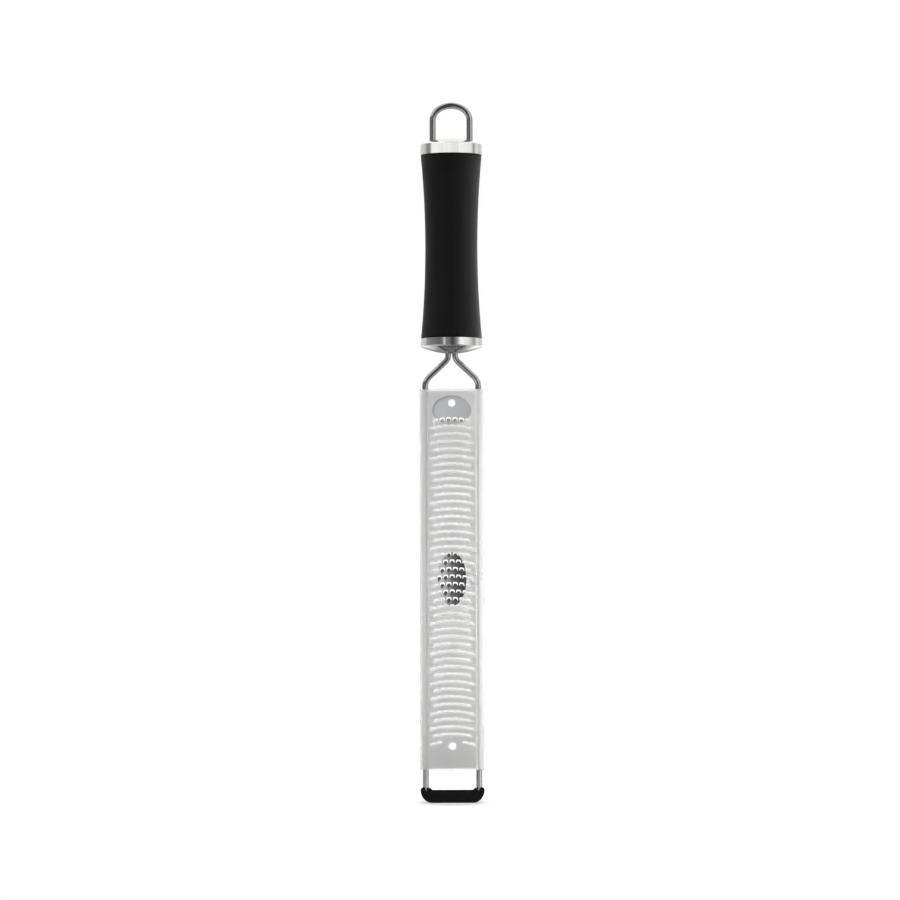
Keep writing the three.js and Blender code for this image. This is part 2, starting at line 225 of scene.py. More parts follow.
def perMetre(size):
    return 1 / (size * mm)  # texture repeats per metre for a feature of this many mm


def roughBy(tree, pattern, look):
    # lets a pattern move the roughness between the finish's two values
    spread = addNode(tree, "ShaderNodeMapRange", {
        "Value": pattern, "To Min": look["rough"][0], "To Max": look["rough"][1]})
    return spread.outputs["Result"]


def raiseBy(tree, shader, pattern, depth, strength=0.3):
    # gives the skin a faint relief of this many mm
    relief = addNode(tree, "ShaderNodeBump", {
        "Height": pattern, "Strength": strength, "Distance": depth * mm})
    tree.links.new(relief.outputs["Normal"], shader.inputs["Normal"])


# polished stainless rod: drawn and buffed, so it mirrors the room in long streaks with faint draw lines and
# loses some of its shine towards the edges
rodLook = {"colour": "#a8a8a7", "edge": "#bcbcbc", "rough": (0.06, 0.1),
           "lineWidth": 0.35, "lineLength": 12, "lineDepth": 0.001}
polishedRod, tree, shader = newFinish("polished stainless rod", {
    "Base Color": hexColour(rodLook["colour"]), "Specular Tint": hexColour(rodLook["edge"]),
    "Metallic": 1.0})
place = addNode(tree, "ShaderNodeTexCoord")
lines = addNode(tree, "ShaderNodeMapping", {
    "Vector": place.outputs["Object"],
    "Scale": (perMetre(rodLook["lineWidth"]), perMetre(rodLook["lineWidth"]),
              perMetre(rodLook["lineLength"]))})
drawn = addNode(tree, "ShaderNodeTexNoise", {"Vector": lines.outputs["Vector"], "Scale": 1.0, "Detail": 3.0})
tree.links.new(roughBy(tree, drawn.outputs["Fac"], rodLook), shader.inputs["Roughness"])
raiseBy(tree, shader, drawn.outputs["Fac"], rodLook["lineDepth"])

# photo-etched stainless sheet: bright rolled steel where it is etched into teeth, brushed on the plain
# upper end
sheetLook = {"colour": "#cbcccd", "rough": (0.09, 0.14), "brushed": 0.5, "brushedFrom": (176.0, 192.0),
             "grain": 0.3, "grainDepth": 0.003}
etchedSheet, tree, shader = newFinish("photo-etched stainless sheet", {
    "Base Color": hexColour(sheetLook["colour"]), "Metallic": 1.0})
place = addNode(tree, "ShaderNodeTexCoord")
grain = addNode(tree, "ShaderNodeTexNoise", {
    "Vector": place.outputs["Object"], "Scale": perMetre(sheetLook["grain"]), "Detail": 4.0,
    "Roughness": 0.6})
axes = addNode(tree, "ShaderNodeSeparateXYZ", {"Vector": place.outputs["Object"]})
plainEnd = addNode(tree, "ShaderNodeMapRange", {
    "Value": axes.outputs["Z"],
    "From Min": sheetLook["brushedFrom"][0] * mm, "From Max": sheetLook["brushedFrom"][1] * mm})
# the mix node's factor and its two number sockets
blur = addNode(tree, "ShaderNodeMix", {
    0: plainEnd.outputs["Result"], 2: roughBy(tree, grain.outputs["Fac"], sheetLook),
    3: sheetLook["brushed"]})
tree.links.new(blur.outputs[0], shader.inputs["Roughness"])
raiseBy(tree, shader, grain.outputs["Fac"], sheetLook["grainDepth"])

# spun satin stainless: pressed cups finished on a lathe, so fine rings soften what they mirror, a little
# weaker towards the edges
capLook = {"colour": "#d8d8d7", "edge": "#e0e0e0", "rough": (0.12, 0.15), "ring": 0.25, "ringDepth": 0.001}
spunSatin, tree, shader = newFinish("spun satin stainless", {
    "Base Color": hexColour(capLook["colour"]), "Specular Tint": hexColour(capLook["edge"]),
    "Metallic": 1.0})
place = addNode(tree, "ShaderNodeTexCoord")
axes = addNode(tree, "ShaderNodeSeparateXYZ", {"Vector": place.outputs["Object"]})
flat = addNode(tree, "ShaderNodeCombineXYZ", {"X": axes.outputs["X"], "Y": axes.outputs["Y"]})
radius = addNode(tree, "ShaderNodeVectorMath", {0: flat.outputs["Vector"]}, operation="LENGTH")
ringPlace = addNode(tree, "ShaderNodeCombineXYZ", {"X": radius.outputs["Value"], "Z": axes.outputs["Z"]})
rings = addNode(tree, "ShaderNodeTexNoise", {
    "Vector": ringPlace.outputs["Vector"], "Scale": perMetre(capLook["ring"]), "Detail": 3.0,
    "Roughness": 0.7})
tree.links.new(roughBy(tree, rings.outputs["Fac"], capLook), shader.inputs["Roughness"])
raiseBy(tree, shader, rings.outputs["Fac"], capLook["ringDepth"])

# soft-touch elastomer: moulded over the core, near black, with a dry even skin and a broad weak sheen
gripLook = {"colour": "#040405", "rough": (0.5, 0.62), "sheen": 0.18, "grain": 0.35, "grainDepth": 0.015}
softTouch, tree, shader = newFinish("soft-touch elastomer", {
    "Base Color": hexColour(gripLook["colour"]), "Specular IOR Level": gripLook["sheen"]})
place = addNode(tree, "ShaderNodeTexCoord")
grain = addNode(tree, "ShaderNodeTexNoise", {
    "Vector": place.outputs["Object"], "Scale": perMetre(gripLook["grain"]), "Detail": 3.0})
tree.links.new(roughBy(tree, grain.outputs["Fac"], gripLook), shader.inputs["Roughness"])
raiseBy(tree, shader, grain.outputs["Fac"], gripLook["grainDepth"])

# moulded rubber: carbon black, duller than the grip, with a slightly blotched dry skin
footLook = {"colour": "#040405", "rough": (0.6, 0.78), "sheen": 0.2, "blotch": 1.6, "grain": 0.3,
            "grainDepth": 0.02, "grainStrength": 0.4}
mouldedRubber, tree, shader = newFinish("moulded rubber", {
    "Base Color": hexColour(footLook["colour"]), "Specular IOR Level": footLook["sheen"]})
place = addNode(tree, "ShaderNodeTexCoord")
blotch = addNode(tree, "ShaderNodeTexNoise", {
    "Vector": place.outputs["Object"], "Scale": perMetre(footLook["blotch"]), "Detail": 2.0})
grain = addNode(tree, "ShaderNodeTexNoise", {
    "Vector": place.outputs["Object"], "Scale": perMetre(footLook["grain"]), "Detail": 3.0})
tree.links.new(roughBy(tree, blotch.outputs["Fac"], footLook), shader.inputs["Roughness"])
raiseBy(tree, shader, grain.outputs["Fac"], footLook["grainDepth"], footLook["grainStrength"])

# frosted polypropylene: moulded in a matt tool, so it is milky and blurs what lies just behind it
guardLook = {"colour": "#f3f3f2", "rough": (0.51, 0.53), "clear": 0.9, "frost": 0.4, "frostDepth": 0.001}
frostedPlastic, tree, shader = newFinish("frosted polypropylene", {
    "Base Color": hexColour(guardLook["colour"]), "IOR": 1.49, "Transmission Weight": guardLook["clear"]})
place = addNode(tree, "ShaderNodeTexCoord")
frost = addNode(tree, "ShaderNodeTexNoise", {
    "Vector": place.outputs["Object"], "Scale": perMetre(guardLook["frost"]), "Detail": 3.0})
tree.links.new(roughBy(tree, frost.outputs["Fac"], guardLook), shader.inputs["Roughness"])
raiseBy(tree, shader, frost.outputs["Fac"], guardLook["frostDepth"])

# glass-filled nylon: moulded core, dark grey with a fine fibre mottle
coreLook = {"colours": ("#252526", "#2f2f31"), "rough": 0.5, "mottle": 0.8}
filledNylon, tree, shader = newFinish("glass-filled nylon", {"Roughness": coreLook["rough"], "IOR": 1.53})
place = addNode(tree, "ShaderNodeTexCoord")
mottle = addNode(tree, "ShaderNodeTexNoise", {
    "Vector": place.outputs["Object"], "Scale": perMetre(coreLook["mottle"]), "Detail": 3.0})
# sockets 6 and 7 of the mix node hold its two colours
tones = addNode(tree, "ShaderNodeMix", {"Factor": mottle.outputs["Fac"]}, data_type="RGBA")
tones.inputs[6].default_value = hexColour(coreLook["colours"][0])
tones.inputs[7].default_value = hexColour(coreLook["colours"][1])
tree.links.new(tones.outputs[2], shader.inputs["Base Color"])
print("finishes mixed")


def dress(piece, finish, body, slot, *nodes):
    # smooths a finished piece and hands it to its body and its finish
    takeUp(piece)
    bpy.ops.object.shade_smooth_by_angle(angle=math.radians(smoothBelow))
    piece.data.materials.clear()
    piece.data.materials.append(finish)
    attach(piece, body)
    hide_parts(*nodes)
    print("made", piece.name, len(piece.data.polygons), "faces")


# wire frame: one rod from leg to leg round the foot
wire = {"diameter": 3.0, "sides": 24, "bendStep": 7.5, "side": 13.5, "neck": 1.75, "foot": 3.25,
        "shoulder": 213.8, "waist": 224.8, "footBend": 4.5, "sideBend": 7.0, "neckBend": 5.0}
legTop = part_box("wire_frame")[1].z / mm
halfWire = [(wire["side"], wire["foot"], wire["footBend"]),
            (wire["side"], wire["shoulder"], wire["sideBend"]),
            (wire["neck"], wire["waist"], wire["neckBend"]), (wire["neck"], legTop, 0)]
wireCorners = [(-x, z, bend) for x, z, bend in reversed(halfWire)] + halfWire
wirePiece = bentWire("wire_frame_rod", wireCorners, wire)
dress(wirePiece, polishedRod, "grater", "polished_wire", "wire_frame")

# hang loop: a slightly flattened round top made of three arcs
loop = {"diameter": 3.2, "sides": 24, "bendStep": 6, "leg": 9.4, "rise": 7.8, "turn": 60}
loopLow, loopHigh = [corner.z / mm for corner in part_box("hang_loop")]
spring = loopHigh - loop["diameter"] / 2 - loop["rise"]
# the shoulder arcs and the top arc meet where the wire has turned by loop["turn"]
sine, cosine = math.sin(math.radians(loop["turn"])), math.cos(math.radians(loop["turn"]))
shoulderBend = (loop["rise"] * cosine - loop["leg"] * (1 - sine)) / (cosine + sine - 1)
topBend = (loop["leg"] - shoulderBend * (1 - cosine)) / cosine
shoulderReach = shoulderBend * math.tan(math.radians(loop["turn"] / 2))
topReach = topBend * math.tan(math.radians(90 - loop["turn"]))
peak = spring + shoulderReach + (shoulderReach + topReach) * cosine
loopPiece = bentWire("hang_loop_wire", [
    (-loop["leg"], loopLow, 0), (-loop["leg"], spring + shoulderReach, shoulderBend), (0, peak, topBend),
    (loop["leg"], spring + shoulderReach, shoulderBend), (loop["leg"], loopLow, 0)], loop)
dress(loopPiece, polishedRod, "grater", "polished_wire", "hang_loop")

# grip: one shallow arc from end to end, turned with its bore and softened at both ends
grip = {"waist": 2.25, "wall": 2.5, "edge": 0.6, "arcSteps": 28, "turnSteps": 96}
gripLow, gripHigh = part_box("grip")
gripBottom, gripTop, gripEnd = gripLow.z / mm, gripHigh.z / mm, gripHigh.x / mm
halfGrip = (gripTop - gripBottom) / 2
gripArc = (halfGrip ** 2 + grip["waist"] ** 2) / (2 * grip["waist"])
gripSkin = []
for step in range(grip["arcSteps"] + 1):
    up = halfGrip * (2 * step / grip["arcSteps"] - 1)
    sag = gripArc - math.sqrt(gripArc ** 2 - up ** 2)
    gripSkin.append((gripEnd - grip["waist"] + sag, 0, gripBottom + halfGrip + up))
gripBore = [(x - grip["wall"], 0, z) for x, y, z in reversed(gripSkin)]
gripPiece = drawLine("soft_grip", gripSkin + gripBore + gripSkin[:1])
bpy.ops.mesh.select_all(action="SELECT")
bpy.ops.mesh.remove_doubles(threshold=weld * mm)
for end in (gripSkin[0], gripSkin[-1]):
    roundCorner(end, grip["edge"])
turnLine(grip["turnSteps"])
closePiece()
dress(gripPiece, softTouch, "grater", "grip_rubber", "grip")

# end caps: a straight ring and a shallow dome, pressed from sheet, drilled for the wires
cap = {"radius": 15.75, "wall": 0.9, "dome": 3.4, "edge": 0.3, "domeSteps": 14, "turnSteps": 112,
       "gap": 0.15, "drillLength": 12}


def capCup(name, rim, ring, up):
    def dome(radius, base):
        arc = (radius ** 2 + cap["dome"] ** 2) / (2 * cap["dome"])
        spots = [radius * step / cap["domeSteps"] for step in range(cap["domeSteps"] + 1)]
        return [(r, 0, rim + up * (base + cap["dome"] - arc + math.sqrt(arc ** 2 - r ** 2))) for r in spots]

    outside = dome(cap["radius"], ring)
    inside = dome(cap["radius"] - cap["wall"], ring - cap["wall"])
    # a second line close under the rounded edge keeps the ring's shading straight
    straight = rim + up * (ring - cap["edge"] - cap["gap"])
    rimLine = [(cap["radius"], 0, straight), (cap["radius"], 0, rim), (cap["radius"] - cap["wall"], 0, rim)]
    piece = drawLine(name, outside + rimLine + inside[::-1])
    roundCorner(outside[-1], cap["edge"])
    turnLine(cap["turnSteps"])
    closePiece()
    return piece


upperRim, upperTop = [corner.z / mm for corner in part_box("upper_cap")]
upperCap = capCup("upper_cap_cup", upperRim, upperTop - upperRim - cap["dome"], 1)
legHole = loop["diameter"] / 2 + cap["gap"]
cutAway(upperCap, [roundBar((x, 0, upperTop), legHole, cap["drillLength"], "z")
                   for x in (-loop["leg"], loop["leg"])])
dress(upperCap, spunSatin, "grater", "satin_cap_steel", "upper_cap")

lowerEnd, lowerRim = [corner.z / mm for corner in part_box("lower_cap")]
lowerCap = capCup("lower_cap_cup", lowerRim, lowerRim - lowerEnd - cap["dome"], -1)
neckHole = wire["diameter"] / 2 + cap["gap"]
cutAway(lowerCap, [roundBar((x, 0, lowerEnd), neckHole, cap["drillLength"], "z")
                   for x in (-wire["neck"], wire["neck"])])
dress(lowerCap, spunSatin, "grater", "satin_cap_steel", "lower_cap")
print("handle done")

# foot: a bar with a collar at each end, saddled where the wire comes out, then softened all over like a
# moulding. It starts a hair inside its box
foot = {"bar": 6.5, "collar": 10.3, "slope": 1.2, "corner": 6.4, "earRound": 1.5, "roundSteps": 12,
        "earBand": 1.0, "endBand": 0.1, "saddle": 1.6, "saddleLow": 6.1, "saddleIn": 0.1, "saddleBar": 12,
        "voxel": 0.18, "softening": 6, "softness": 0.5, "hair": 0.02}
footLow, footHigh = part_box("foot")
footSize = (footHigh - footLow) / mm
bpy.ops.object.select_all(action="DESELECT")
bpy.ops.mesh.primitive_cube_add(
    size=mm, location=(0, 0, (foot["bar"] + foot["hair"]) / 2 * mm),
    scale=(footSize.x - 2 * foot["hair"], footSize.y - 2 * foot["hair"], foot["bar"] - foot["hair"]))
footPiece = editPiece("rubber_foot")
for x in (-foot["collar"], foot["collar"]):
    bpy.ops.mesh.select_all(action="SELECT")
    bpy.ops.mesh.bisect(plane_co=(x * mm, 0, 0), plane_no=(1, 0, 0))
pick("faces", lambda face: face.normal.z > 0.9 and abs(face.calc_center_median().x) > foot["collar"] * mm)
pull((0, 0, (footSize.z - foot["bar"]) * mm))
for side in (-1, 1):
    pick("verts", lambda vert: (vert.co.z > footHigh.z - near * mm
                                and 0 < vert.co.x * side < footHigh.x - foot["earBand"] * mm))
    bpy.ops.transform.translate(value=(side * foot["slope"] * mm, 0, 0))
for height, size in ((foot["hair"] * mm, foot["corner"]), (footHigh.z, foot["earRound"])):
    pick("edges", lambda edge: all(
        abs(vert.co.z - height) < near * mm and abs(vert.co.x) > footHigh.x - foot["endBand"] * mm
        for vert in edge.verts))
    bpy.ops.mesh.bevel(offset=size * mm, segments=foot["roundSteps"], affect="EDGES")
closePiece()
saddleX, saddleZ = wire["side"] - foot["saddleIn"], foot["saddleLow"] + foot["saddle"]
cutAway(footPiece, [roundBar((x, 0, saddleZ), foot["saddle"], foot["saddleBar"], "y")
                    for x in (-saddleX, saddleX)])
applyModifier(footPiece, "REMESH", mode="VOXEL", voxel_size=foot["voxel"] * mm)
applyModifier(footPiece, "SMOOTH", factor=foot["softness"], iterations=foot["softening"])
dress(footPiece, mouldedRubber, "grater", "foot_rubber", "foot")

# blade: a flat grid with its slots cut out and the tongues pulled forward, then bowed and rolled round the
# wires
blade = {"thickness": 0.3, "half": 13.5, "curl": 1.8, "wrap": 200, "curlSteps": 12, "bow": 0.5,
         "pitch": 3.28, "rowPitch": 3.8, "rows": 44, "firstRoot": 15.05, "rowArc": 40.0,
         "slot": {"root": (0, 1.3), "shoulder": (1.15, 1.28), "crown": (1.7, 0.95)}, "arch": 0.08,
         "tongue": ((0.12, 0.05, 0.98), (0.35, 0.17, 0.88), (0.28, 0.18, 0.68)), "tipRound": 0.12,
         "holeDiameter": 3.7, "upperHole": 6.2, "lowerHole": 1.3, "clearHole": 4.4, "underRow": 1.4,
         "edgeColumn": 15, "outermost": 3.2, "slotMargin": 0.2, "insideTooth": 1.0, "nudge": 0.001,
         "punch": {"y": -2, "length": 4}}
bladeBottom, bladeTop = [corner.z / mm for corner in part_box("grater_blade")]
firstRoot = bladeTop - blade["firstRoot"]
column = blade["pitch"] / 4
edgeColumn = blade["edgeColumn"]  # columns from the middle out to the rolled edge
slotTop = blade["slot"]["crown"][0]


def rootLevel(row):
    return firstRoot - row * blade["rowPitch"]


def rowAt(z):
    # the row whose roots lie at this level or just below it
    return math.ceil((firstRoot - z) / blade["rowPitch"] - blade["nudge"])


def nearestTooth(x, z):
    # the middle of the tooth at a place on the flat sheet, or None between the teeth
    row = rowAt(z)
    if not 0 <= row < blade["rows"] or z - rootLevel(row) > slotTop + blade["arch"] + blade["slotMargin"]:
        return None
    shift = 0 if row % 2 else blade["pitch"] / 2
    middle = round((x - shift) / blade["pitch"]) * blade["pitch"] + shift
    outside = abs(middle) > blade["outermost"] * blade["pitch"]
    atHole = row == blade["rows"] - 1 and abs(middle) < blade["clearHole"]
    return None if outside or atHole else middle


columns = [-blade["half"]] + [column * i for i in range(1 - edgeColumn, edgeColumn)] + [blade["half"]]
levels = [(bladeTop, None)]
for row in range(blade["rows"]):
    levels += [(rootLevel(row) + blade["slot"][part][0], part) for part in ("crown", "shoulder", "root")]
# a line under the last row keeps the bend of its tongues out of the plain end
levels += [(rootLevel(blade["rows"] - 1) - blade["underRow"], None), (bladeBottom, None)]
bpy.ops.object.select_all(action="DESELECT")
bpy.ops.mesh.primitive_grid_add(x_subdivisions=len(columns) - 1, y_subdivisions=len(levels) - 1, size=1)
bladePiece = bpy.context.object
bladePiece.name = "etched_blade"
bladePiece.data.name = "etched_blade"
for vert in bladePiece.data.vertices:
    i = round((vert.co.x + 0.5) * (len(columns) - 1))
    j = round((0.5 - vert.co.y) * (len(levels) - 1))
    x, (z, part) = columns[i], levels[j]
    middle = nearestTooth(x, z) if part else None
    if middle is not None and abs(abs(x - middle) - column) < near:
        x = middle + math.copysign(blade["slot"][part][1], x - middle)
    elif middle is not None and abs(x - middle) < near and part == "crown":
        z += blade["arch"]
    vert.co = Vector((x, 0, z)) * mm


def inSlot(face):
    spot = face.calc_center_median() / mm
    middle = nearestTooth(spot.x, spot.z)
    if middle is None or abs(spot.x - middle) > blade["insideTooth"]:
        return False
    return spot.z < rootLevel(rowAt(spot.z)) + slotTop


def isHinge(edge):
    ends = [vert.co / mm for vert in edge.verts]
    spot = (ends[0] + ends[1]) / 2
    middle = nearestTooth(spot.x, spot.z)
    steps = [(firstRoot - end.z) / blade["rowPitch"] for end in ends]
    onRoot = all(abs(step - round(step)) < near for step in steps)
    return onRoot and middle is not None and abs(spot.x - middle) < blade["insideTooth"]


bpy.ops.object.mode_set(mode="EDIT")
pick("faces", inSlot)
bpy.ops.mesh.delete(type="FACE")
pick("edges", isHinge)
halfWidth = blade["slot"]["root"][1]
for rise, lift, tip in blade["tongue"]:
    pull((0, -lift * mm, rise * mm))
    edit = bmesh.from_edit_mesh(bladePiece.data)
    for vert in edit.verts:
        if not vert.select:
            continue
        middle = nearestTooth(vert.co.x / mm, vert.co.z / mm) * mm
        across = vert.co.x - middle
        vert.co.x = middle + across * tip / halfWidth
        if abs(across) < near * mm:
            vert.co.z += blade["tipRound"] / 2 * mm
    bmesh.update_edit_mesh(bladePiece.data)
    halfWidth = tip
bpy.ops.object.mode_set(mode="OBJECT")

# rows drop towards their ends, and the sheet bows forward between the wires
lastRoot = rootLevel(blade["rows"] - 1)
for vert in bladePiece.data.vertices:
    x, z = vert.co.x / mm, vert.co.z / mm
    above = (bladeTop - z) / (bladeTop - firstRoot - slotTop)
    below = (z - bladeBottom) / (lastRoot - bladeBottom)
    arched = min(1, max(0, above), max(0, below))
    drop = blade["rowArc"] - math.sqrt(blade["rowArc"] ** 2 - x ** 2)
    vert.co.z -= arched * drop * mm
    vert.co.y -= (blade["curl"] + blade["bow"] * (1 - (x / blade["half"]) ** 2)) * mm
bpy.ops.object.mode_set(mode="EDIT")
for side in (-1, 1):
    pick("edges", lambda edge: all(vert.co.x * side > (blade["half"] - near) * mm for vert in edge.verts))
    sweep(side * blade["wrap"], (side * blade["half"] * mm, 0, 0), (0, 0, 1), blade["curlSteps"])
closePiece()
applyModifier(bladePiece, "SOLIDIFY", thickness=blade["thickness"] * mm, offset=0)
holeRadius = blade["holeDiameter"] / 2
cutAway(bladePiece, [roundBar((0, blade["punch"]["y"], z), holeRadius, blade["punch"]["length"], "y")
                     for z in (bladeTop - blade["upperHole"], lastRoot - blade["lowerHole"])])
dress(bladePiece, etchedSheet, "grater", "etched_blade_steel", "grater_blade")

# guard: a hat section drawn once and pulled up, given its wall, with two oval windows
guard = {"wall": 0.6, "rail": 2.86, "panel": 12.5, "draft": 0.5, "railRound": 0.9, "panelRound": 0.75,
         "stepRound": 0.35, "edge": 0.12, "edgeSteps": 2, "edgeAngle": 50,
         "windows": ((14.6, 27.2, 96.35), (19.8, 14.8, 181.9)), "windowSides": 96, "punchLength": 6}
guardLow, guardHigh = [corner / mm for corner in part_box("blade_guard")]
stepX = guard["panel"] + guard["draft"]
rightSide = [(guardHigh.x, guardHigh.y), (guardHigh.x, -guard["rail"]), (stepX, -guard["rail"]),
             (guard["panel"], guardLow.y)]
section = [(x, y, guardLow.z) for x, y in rightSide] + [(-x, y, guardLow.z) for x, y in reversed(rightSide)]
guardPiece = drawLine("frosted_guard", section)
for i, size in ((1, guard["railRound"]), (2, guard["stepRound"]), (3, guard["panelRound"])):
    roundCorner(section[i], size)
    roundCorner(section[-1 - i], size)
bpy.ops.mesh.select_all(action="SELECT")
pull((0, 0, (guardHigh.z - guardLow.z) * mm))
closePiece()
applyModifier(guardPiece, "SOLIDIFY", thickness=guard["wall"] * mm, offset=-1, use_even_offset=True)
cutAway(guardPiece, [
    roundBar((0, guardLow.y, guardLow.z + up), width / 2, guard["punchLength"], "y", guard["windowSides"],
             height / width)
    for width, height, up in guard["windows"]])
applyModifier(guardPiece, "BEVEL", width=guard["edge"] * mm, segments=guard["edgeSteps"],
              limit_method="ANGLE", angle_limit=math.radians(guard["edgeAngle"]))
dress(guardPiece, frostedPlastic, "guard", "frosted_guard", "blade_guard")
print("blade end done")

# core: hidden in the grip, keeps its own solid
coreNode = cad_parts["handle_core"]
coreNode.data.materials.clear()
coreNode.data.materials.append(filledNylon)


# studio: white paper underfoot and white behind. What the steel mirrors is set by bearing in degrees, 0
# towards the camera and growing to the right, in four zones of height: straight down, low, level and above.
# Each zone fades in between the two heights in its "from"
studio = {"background": 1.0, "heights": (
    {"from": (-90, -80), "levels": (
        (-180, 0.12), (-150, 0.2), (-110, 0.9), (-60, 0.9), (-32, 0.12), (32, 0.12), (60, 0.9), (110, 0.9),
        (150, 0.2), (180, 0.12))},
    {"from": (-47, -38), "levels": (
        (-180, 0.2), (-174, 0.3), (-166, 0.95), (-60, 0.9), (-32, 0.12), (32, 0.12), (60, 0.9), (166, 0.95),
        (174, 0.3), (180, 0.2))},
    {"from": (-5, -3), "levels": (
        (-180, 1.35), (-162, 1.35), (-145, 1.0), (-118, 0.8), (-100, 0.35), (-80, 0.25), (-44, 0.16),
        (-33, 0.25), (-27, 0.9), (-20, 0.25), (-10, 0.22), (3, 0.06), (16, 0.22), (25, 0.55), (33, 1.3),
        (60, 1.1), (78, 0.75), (92, 0.45), (112, 1.1), (130, 0.8), (145, 1.0), (162, 1.35), (180, 1.35))},
    {"from": (18, 24), "levels": (
        (-180, 1.5), (-140, 1.4), (-100, 1.1), (-45, 1.2), (-20, 0.12), (20, 0.12), (45, 1.2), (100, 1.1),
        (140, 1.4), (180, 1.5))})}


def bearingOf(tree, place):
    # turns a direction into 0 to 1 round the compass, with 0.5 towards the camera, and its height
    axes = addNode(tree, "ShaderNodeSeparateXYZ", {"Vector": place})
    towards = addNode(tree, "ShaderNodeMath", {0: axes.outputs["Y"], 1: -1.0}, operation="MULTIPLY")
    bearing = addNode(tree, "ShaderNodeMath", {
        0: axes.outputs["X"], 1: towards.outputs[0]}, operation="ARCTAN2")
    turn = addNode(tree, "ShaderNodeMapRange", {
        "Value": bearing.outputs[0], "From Min": -math.pi, "From Max": math.pi})
    return turn.outputs["Result"], axes.outputs["Z"]


def lightRing(tree, turn, levels):
    # the light level at each bearing in degrees
    ring = addNode(tree, "ShaderNodeValToRGB", {"Fac": turn})
    ring.color_ramp.interpolation = "EASE"
    for i, (degrees, level) in enumerate(levels):
        spot = (degrees + 180) / 360
        if i < 2:
            stop = ring.color_ramp.elements[i]
            stop.position = spot
        else:
            stop = ring.color_ramp.elements.new(spot)
        stop.color = (level, level, level, 1)
    return ring.outputs["Color"]


world = bpy.data.worlds.new("studio")
scene.world = world
world.use_nodes = True
tree = world.node_tree
tree.nodes.clear()
place = addNode(tree, "ShaderNodeTexCoord")
turn, upwards = bearingOf(tree, place.outputs["Generated"])
light = 1.0
for height in studio["heights"]:
    start, end = [math.sin(math.radians(degrees)) for degrees in height["from"]]
    reached = addNode(tree, "ShaderNodeMapRange", {
        "Value": upwards, "From Min": start, "From Max": end}, interpolation_type="SMOOTHSTEP")
    light = addNode(tree, "ShaderNodeMix", {
        0: reached.outputs["Result"], 2: light, 3: lightRing(tree, turn, height["levels"])}).outputs[0]
path = addNode(tree, "ShaderNodeLightPath")
seen = addNode(tree, "ShaderNodeMix", {0: path.outputs["Is Camera Ray"], 2: light, 3: studio["background"]})
glow = addNode(tree, "ShaderNodeBackground", {"Color": (1, 1, 1, 1), "Strength": seen.outputs[0]})
addNode(tree, "ShaderNodeOutputWorld", {"Surface": glow.outputs["Background"]})

# the paper glows white away from the foot: painted light that washes out the shadows there, so shade shows
# only in an oval close round the foot. The steel does not mirror it
paperLook = {"colour": "#bebebe", "radius": 0.3, "sides": 96, "glow": (0.0, 0.6), "paintedGlowFrom": (0.02, 0.05),
             "stretch": (1.75, 0.5, 1)}
bpy.ops.object.select_all(action="DESELECT")
bpy.ops.mesh.primitive_circle_add(vertices=paperLook["sides"], radius=paperLook["radius"], fill_type="NGON")
paper = bpy.context.object
paper.name = "paper_floor"
whitePaper, tree, shader = newFinish("white paper with painted glow", {
    "Base Color": hexColour(paperLook["colour"]), "Roughness": 0.9, "Specular IOR Level": 0.1,
    "Emission Color": (1, 1, 1, 1)})
place = addNode(tree, "ShaderNodeTexCoord")
oval = addNode(tree, "ShaderNodeMapping", {"Vector": place.outputs["Object"], "Scale": paperLook["stretch"]})
away = addNode(tree, "ShaderNodeVectorMath", {0: oval.outputs["Vector"]}, operation="LENGTH")
# painted light: the paper's glow is nil near the foot and grows with distance, in an oval stretched sideways
paintedWash = addNode(tree, "ShaderNodeMapRange", {
    "Value": away.outputs["Value"],
    "From Min": paperLook["paintedGlowFrom"][0], "From Max": paperLook["paintedGlowFrom"][1],
    "To Min": paperLook["glow"][0], "To Max": paperLook["glow"][1]})
tree.links.new(paintedWash.outputs["Result"], shader.inputs["Emission Strength"])
paper.data.materials.append(whitePaper)
paper.visible_glossy = False


stripSides = 72  # facets round a full circle


def bentLamp(name, lamp):
    # a strip bent round the object that gives light and lets everything behind it show through. No two
    # strips share a radius, because light is lost where they coincide
    bpy.ops.object.select_all(action="DESELECT")
    bpy.ops.mesh.primitive_cylinder_add(
        vertices=stripSides, radius=lamp["away"], depth=lamp["top"] - lamp["low"], end_fill_type="NOTHING",
        location=(0, 0, (lamp["low"] + lamp["top"]) / 2))
    strip = bpy.context.object
    strip.name = name
    bpy.ops.object.transform_apply(location=True, rotation=True, scale=True)
    strip.visible_camera = False
    face = newFinish(name + " face", {})[0]
    tree = face.node_tree
    tree.nodes.clear()
    place = addNode(tree, "ShaderNodeTexCoord")
    turn = bearingOf(tree, place.outputs["Object"])[0]
    glow = addNode(tree, "ShaderNodeEmission", {"Strength": lightRing(tree, turn, lamp["levels"])})
    through = addNode(tree, "ShaderNodeBsdfTransparent")
    both = addNode(tree, "ShaderNodeAddShader", {0: glow.outputs[0], 1: through.outputs[0]})
    addNode(tree, "ShaderNodeOutputMaterial", {"Surface": both.outputs[0]})
    strip.data.materials.append(face)
    return strip


def lightOnly(strip, piece):
    # light linking: the strip lights this piece and no other
    lit = bpy.data.collections.new(strip.name + "_lights")
    lit.objects.link(piece)
    strip.light_linking.receiver_collection = lit


# the tall strip shows in the upper cap alone
capLamp = {"away": 0.45, "low": 0.3, "top": 1.3, "levels": (
    (-87, 0.0), (-74, 1.0), (-56, 1.1), (-36, 1.0), (-27, 0.45), (-18, 0.95), (0, 1.1), (16, 0.9), (25, 0.5),
    (34, 0.0), (60, 0.1), (78, 0.4), (90, 0.0))}
lightOnly(bentLamp("cap_strip", capLamp), upperCap)

# a card level with the brushed end of the blade, stronger on the left
brushedLight = {"away": 0.48, "low": 0.2, "top": 0.5, "levels": (
    (-85, 0.0), (-60, 2.0), (-10, 1.35), (12, 0.4), (60, 0.2), (85, 0.0))}
lightOnly(bentLamp("brushed_card", brushedLight), bladePiece)

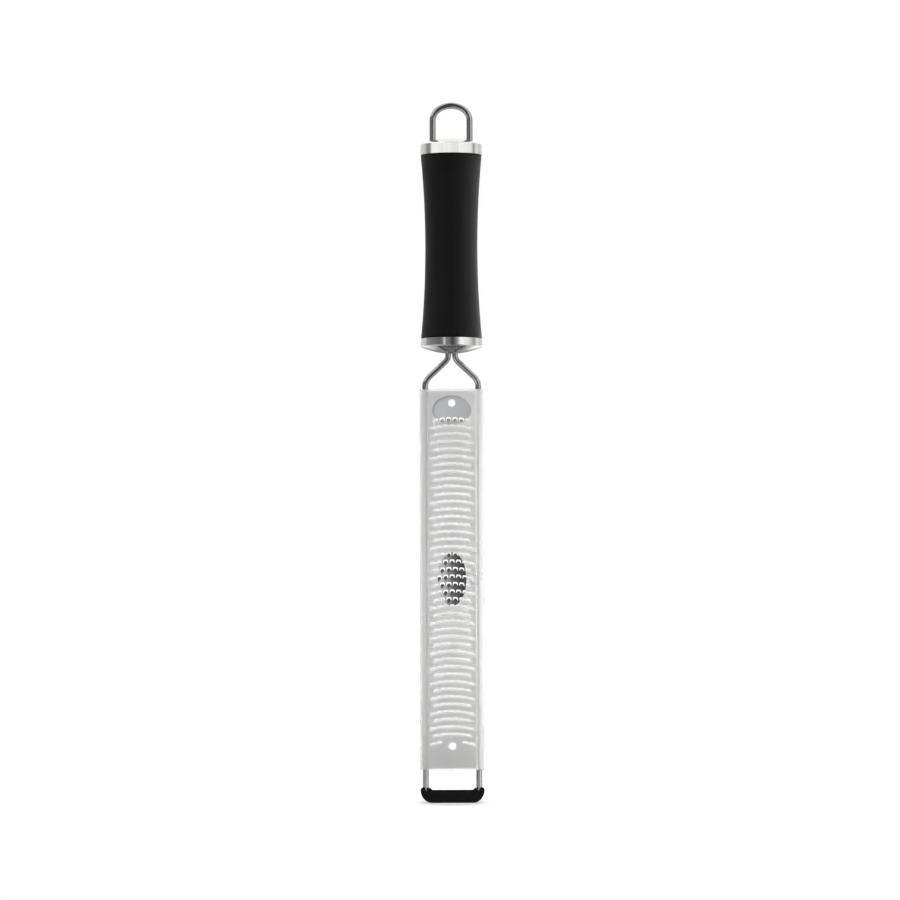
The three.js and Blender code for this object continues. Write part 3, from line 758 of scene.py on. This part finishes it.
# a low card on the left shades the blade from light to dark across the middle window
bladeCard = {"away": 0.46, "low": 0.05, "top": 0.135, "levels": (
    (-75, 0.0), (-60, 0.9), (-6, 1.1), (-3.3, 0.7), (0.2, 0.08), (3, 0.0))}
bentLamp("blade_card", bladeCard)

# light off the table for the wires between the guard and the foot
tableLight = {"away": 0.47, "low": -0.03, "top": 0.012, "levels": (
    (-100, 0.0), (-70, 0.4), (70, 0.4), (100, 0.0))}
lightOnly(bentLamp("table_card", tableLight), wirePiece)

# light from the right for the guard's rail on that side
railLight = {"away": 0.49, "low": -0.05, "top": 0.4, "levels": (
    (22, 0.0), (45, 1.8), (85, 1.4), (125, 0.7), (145, 0.0))}
lightOnly(bentLamp("rail_card", railLight), guardPiece)

# a low card behind for the dome of the lower cap, which stays dark in its middle
domeLight = {"away": 0.53, "low": -0.08, "top": 0.16, "levels": (
    (-180, 0.0), (-175, 0.1), (-168, 0.6), (-140, 0.6), (-120, 0.0), (120, 0.0), (140, 1.1), (168, 1.1),
    (175, 0.2), (180, 0.0))}
lightOnly(bentLamp("dome_card", domeLight), lowerCap)

# a weak card from the front for the upper rows behind the guard
rowLight = {"away": 0.51, "low": 0.18, "top": 0.34, "levels": (
    (-60, 0.0), (-45, 0.65), (45, 0.65), (60, 0.0))}
lightOnly(bentLamp("row_card", rowLight), guardPiece)

# a low card on the right that gives the lower grip its rim
gripLight = {"away": 0.52, "low": 0.08, "top": 0.3, "levels": ((60, 0.0), (85, 2.7), (150, 2.7), (165, 0.0))}
lightOnly(bentLamp("grip_card", gripLight), gripPiece)

# a soft fill from the camera side that lifts the frosted plastic and stays out of the steel
fillLook = {"away": 1.3, "size": 1.6, "up": 0.5, "light": 6.5}
bpy.ops.object.select_all(action="DESELECT")
bpy.ops.mesh.primitive_plane_add(
    size=fillLook["size"], location=(0, -fillLook["away"], fillLook["up"]),
    rotation=(math.radians(90), 0, 0))
fill = bpy.context.object
fill.name = "fill_card"
fill.visible_camera = False
fill.visible_glossy = False
fill.visible_transmission = False
fillFace = newFinish("fill card", {
    "Base Color": (0, 0, 0, 1), "Emission Color": (1, 1, 1, 1), "Emission Strength": fillLook["light"]})[0]
fill.data.materials.append(fillFace)
print("studio lit")
